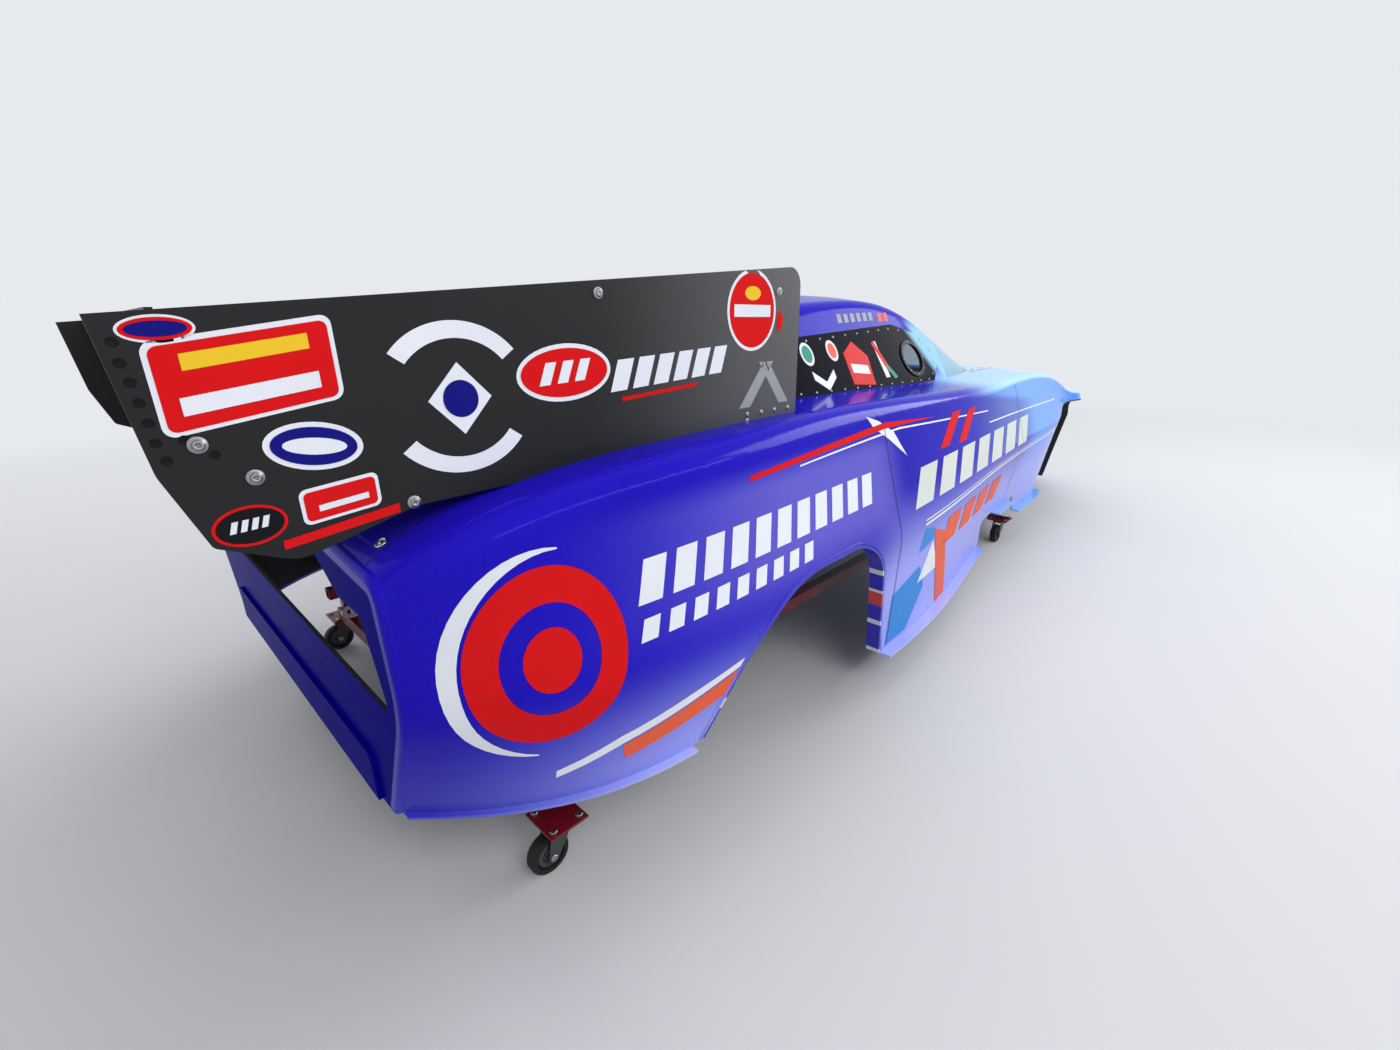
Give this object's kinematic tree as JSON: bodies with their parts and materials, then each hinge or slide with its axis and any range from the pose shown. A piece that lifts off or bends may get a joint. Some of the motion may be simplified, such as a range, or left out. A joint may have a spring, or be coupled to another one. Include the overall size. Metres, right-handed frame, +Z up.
{
  "type": "drag racing car body shell on a shop cart",
  "caption": "Hollow flip-up drag racing coupe body with spill plates, spoiler, windows and roof hatch, standing on a steel shop cart with swivel casters.",
  "frame": {"origin": "on the floor, below the middle of the overall box", "axes": "+X towards the nose, +Y to the car's left, +Z up"},
  "size_m": [5.278, 2, 1.3567],
  "materials": {
    "body_blue": "deep blue clear-coated paint on moulded composite",
    "plate_black": "satin black",
    "clear_window": "clear sheet",
    "dark_window": "dark tinted sheet",
    "port_black": "moulded ring",
    "bare_metal": "machined",
    "zinc_steel": "zinc plated pressed steel",
    "cart_red": "red shop paint on square tube",
    "caster_rubber": "solid black tread"
  },
  "bodies": {
    "root": {"cart_beams": "cart_red", "cart_plates": "cart_red", "cart_posts": "cart_red", "cart_rails": "cart_red", "cart_saddles": "cart_red", "caster_plates": "zinc_steel", "door_left": "body_blue", "door_right": "body_blue", "fender_left": "body_blue", "fender_right": "body_blue", "front_arch_lip_left": "body_blue", "front_arch_lip_right": "body_blue", "hatch_hinges": "bare_metal", "hood_panel": "body_blue", "injector_bezel": "body_blue", "mount_tube_front": "bare_metal", "mount_tube_rear": "bare_metal", "nose_panel": "body_blue", "pivot_ears": "bare_metal", "quarter_left": "body_blue", "quarter_right": "body_blue", "rear_arch_lip_left": "body_blue", "rear_arch_lip_right": "body_blue", "rear_deck": "body_blue", "roof_panel": "body_blue", "side_window_left": "dark_window", "side_window_right": "dark_window", "sill_flange_left": "body_blue", "sill_flange_right": "body_blue", "spill_plate_left": "plate_black", "spill_plate_right": "plate_black", "spoiler_blade": "plate_black", "spoiler_struts": "bare_metal", "tail_panel": "body_blue", "window_port_left": "port_black", "window_port_right": "port_black", "windshield": "clear_window"},
    "hatch": {"roof_hatch": "body_blue"},
    "fork_rear_right": {"caster_fork_rear_right": "zinc_steel"},
    "wheel_rear_right": {"caster_wheel_rear_right": "caster_rubber"},
    "fork_rear_left": {"caster_fork_rear_left": "zinc_steel"},
    "wheel_rear_left": {"caster_wheel_rear_left": "caster_rubber"},
    "fork_front_right": {"caster_fork_front_right": "zinc_steel"},
    "wheel_front_right": {"caster_wheel_front_right": "caster_rubber"},
    "fork_front_left": {"caster_fork_front_left": "zinc_steel"},
    "wheel_front_left": {"caster_wheel_front_left": "caster_rubber"}
  },
  "joints": [
    {"name": "hatch_lift", "type": "hinge", "parent": "root", "child": "hatch", "pos_m": [-0.0885, 0, 1.31871], "axis": [0, 1, 0], "range_deg": [0, 95]},
    {"name": "swivel_rear_right", "type": "hinge", "parent": "root", "child": "fork_rear_right", "pos_m": [-2.111, -0.745, 0.12], "axis": [0, 0, 1], "continuous": true},
    {"name": "roll_rear_right", "type": "hinge", "parent": "fork_rear_right", "child": "wheel_rear_right", "pos_m": [-2.144, -0.745, 0.05], "axis": [0, 1, 0], "continuous": true},
    {"name": "swivel_rear_left", "type": "hinge", "parent": "root", "child": "fork_rear_left", "pos_m": [-2.111, 0.745, 0.12], "axis": [0, 0, 1], "continuous": true},
    {"name": "roll_rear_left", "type": "hinge", "parent": "fork_rear_left", "child": "wheel_rear_left", "pos_m": [-2.144, 0.745, 0.05], "axis": [0, 1, 0], "continuous": true},
    {"name": "swivel_front_right", "type": "hinge", "parent": "root", "child": "fork_front_right", "pos_m": [0.914, -0.745, 0.12], "axis": [0, 0, 1], "continuous": true},
    {"name": "roll_front_right", "type": "hinge", "parent": "fork_front_right", "child": "wheel_front_right", "pos_m": [0.881, -0.745, 0.05], "axis": [0, 1, 0], "continuous": true},
    {"name": "swivel_front_left", "type": "hinge", "parent": "root", "child": "fork_front_left", "pos_m": [0.914, 0.745, 0.12], "axis": [0, 0, 1], "continuous": true},
    {"name": "roll_front_left", "type": "hinge", "parent": "fork_front_left", "child": "wheel_front_left", "pos_m": [0.881, 0.745, 0.05], "axis": [0, 1, 0], "continuous": true}
  ]
}
